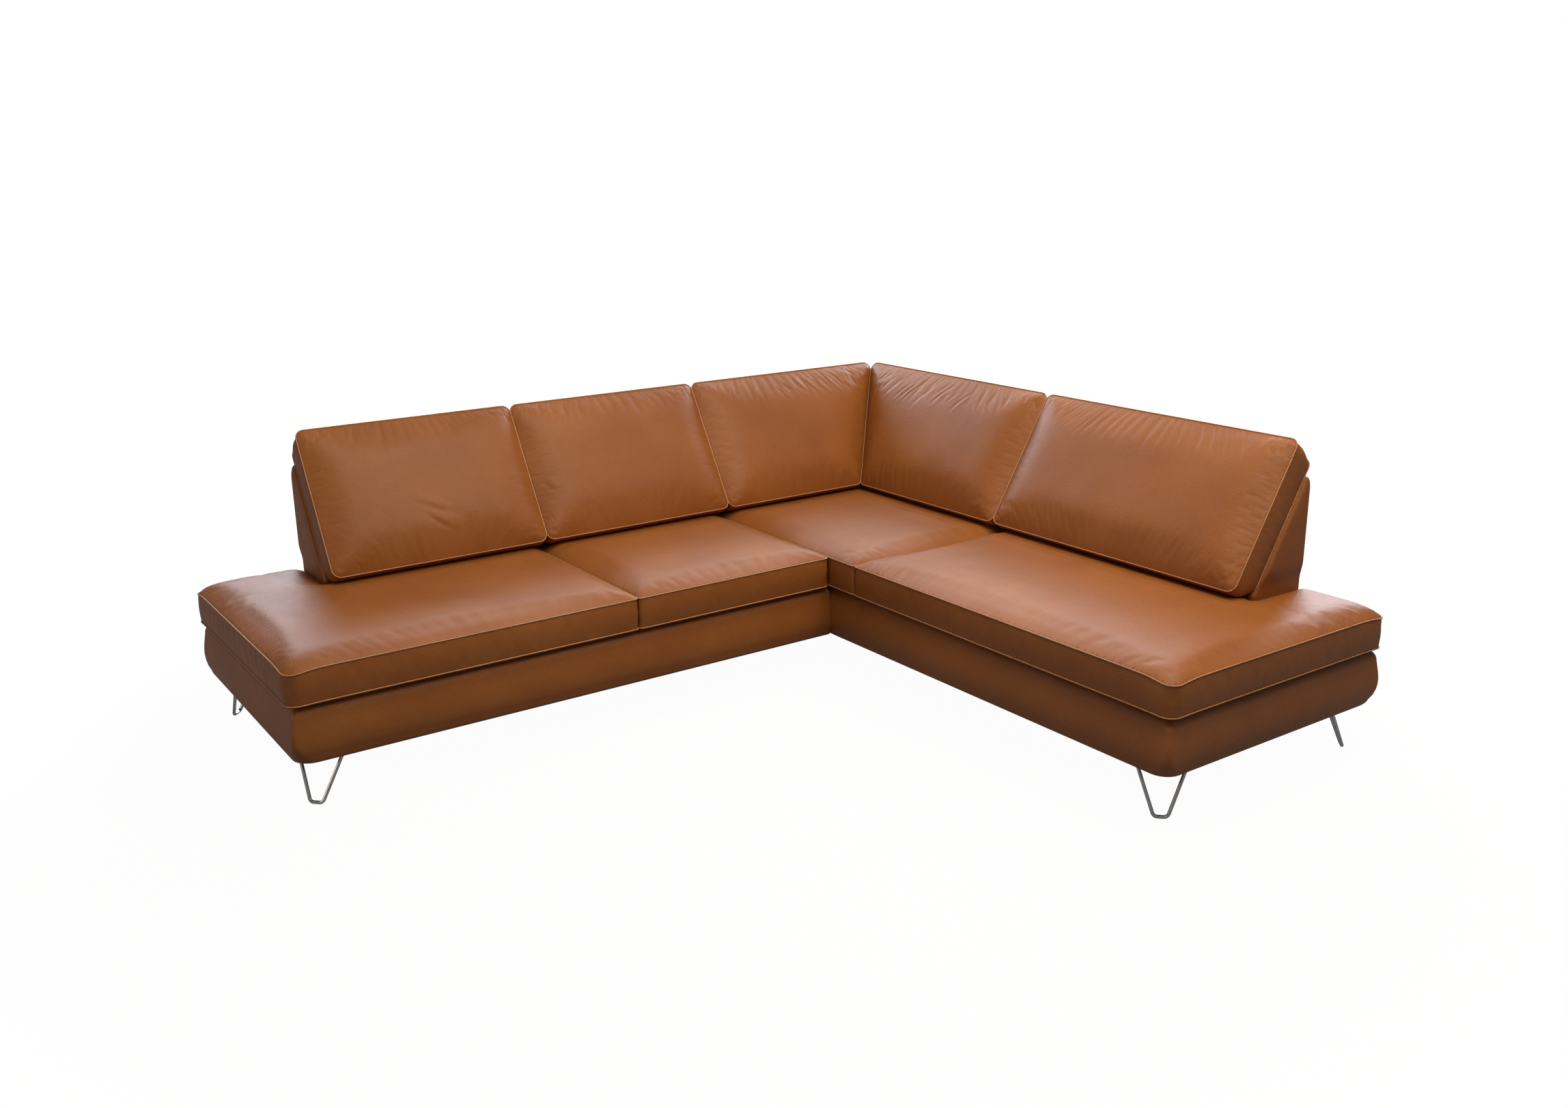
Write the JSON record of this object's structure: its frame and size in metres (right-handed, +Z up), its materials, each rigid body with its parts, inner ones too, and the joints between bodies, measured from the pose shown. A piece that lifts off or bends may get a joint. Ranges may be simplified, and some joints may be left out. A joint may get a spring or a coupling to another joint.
{
  "type": "corner sofa",
  "caption": "Low L-shaped corner sofa in brown leather with loose boxed seat and back cushions, wedge backrests, an open chaise end and bent metal rod legs.",
  "frame": {"origin": "on the floor, under the middle of the bounding box", "axes": "+Z up; the long wing runs along X and its front faces -Y; the chaise wing runs along -Y from the +X end and its front faces -X"},
  "size_m": [2.6876, 2.3376, 0.8764],
  "materials": {
    "leather": "satin, fine grain",
    "foam": "open-cell foam",
    "lining": "black non-woven cloth",
    "chrome": "polished",
    "zinc_steel": "zinc plated",
    "spring_steel": "oiled wire",
    "softwood": "planed",
    "plywood": "birch plywood",
    "webbing": "woven elastic strap",
    "felt": "needled felt",
    "black_plastic": "moulded"
  },
  "bodies": {
    "root": {"back_boards": "plywood", "back_bolts": "zinc_steel", "back_ribs": "plywood", "back_webbing": "webbing", "corner_back_cover": "leather", "corner_back_padding": "foam", "corner_seat_core": "foam", "corner_seat_cover": "leather", "cross_rails": "softwood", "joining_plates": "zinc_steel", "joining_screws": "zinc_steel", "left_back_cover": "leather", "left_back_padding": "foam", "left_base_cover": "leather", "left_base_padding": "foam", "left_deck_pad": "felt", "left_dust_cover": "lining", "left_end_rail": "softwood", "left_front_rail": "softwood", "left_joint_rail": "softwood", "left_rear_rail": "softwood", "left_seat_springs": "spring_steel", "leg_back_corner": "chrome", "leg_blocks": "softwood", "leg_chaise_inner": "chrome", "leg_chaise_outer": "chrome", "leg_left_front": "chrome", "leg_left_rear": "chrome", "leg_screws": "zinc_steel", "right_back_cover": "leather", "right_back_padding": "foam", "right_back_rail": "softwood", "right_base_cover": "leather", "right_base_padding": "foam", "right_deck_pad": "felt", "right_dust_cover": "lining", "right_end_rail": "softwood", "right_inner_rail": "softwood", "right_outer_rail": "softwood", "right_seat_springs": "spring_steel", "spring_clips": "zinc_steel", "support_feet": "black_plastic"},
    "end_seat": {"end_seat_cover": "leather", "end_seat_core": "foam"},
    "middle_seat": {"middle_seat_cover": "leather", "middle_seat_core": "foam"},
    "chaise_seat": {"chaise_seat_cover": "leather", "chaise_seat_core": "foam"},
    "end_back_cushion": {"end_back_cushion_cover": "leather", "end_back_cushion_core": "foam"},
    "middle_back_cushion": {"middle_back_cushion_cover": "leather", "middle_back_cushion_core": "foam"},
    "corner_left_back_cushion": {"corner_left_back_cushion_cover": "leather", "corner_left_back_cushion_core": "foam"},
    "corner_right_back_cushion": {"corner_right_back_cushion_cover": "leather", "corner_right_back_cushion_core": "foam"},
    "chaise_back_cushion": {"chaise_back_cushion_cover": "leather", "chaise_back_cushion_core": "foam"}
  },
  "joints": [
    {"name": "end_seat_pull", "type": "slide", "parent": "root", "child": "end_seat", "axis": [0, -1, 0], "range_m": [0, 0.3]},
    {"name": "middle_seat_pull", "type": "slide", "parent": "root", "child": "middle_seat", "axis": [0, -1, 0], "range_m": [0, 0.3]},
    {"name": "chaise_seat_pull", "type": "slide", "parent": "root", "child": "chaise_seat", "axis": [0, -1, 0], "range_m": [0, 0.3]},
    {"name": "end_back_lift", "type": "slide", "parent": "root", "child": "end_back_cushion", "axis": [0, 0.515, 0.8572], "range_m": [0, 0.35]},
    {"name": "middle_back_lift", "type": "slide", "parent": "root", "child": "middle_back_cushion", "axis": [0, 0.515, 0.8572], "range_m": [0, 0.35]},
    {"name": "corner_left_back_lift", "type": "slide", "parent": "root", "child": "corner_left_back_cushion", "axis": [0, 0.515, 0.8572], "range_m": [0, 0.35]},
    {"name": "corner_right_back_lift", "type": "slide", "parent": "root", "child": "corner_right_back_cushion", "axis": [0.515, 0, 0.8572], "range_m": [0, 0.35]},
    {"name": "chaise_back_lift", "type": "slide", "parent": "root", "child": "chaise_back_cushion", "axis": [0.515, 0, 0.8572], "range_m": [0, 0.35]}
  ]
}
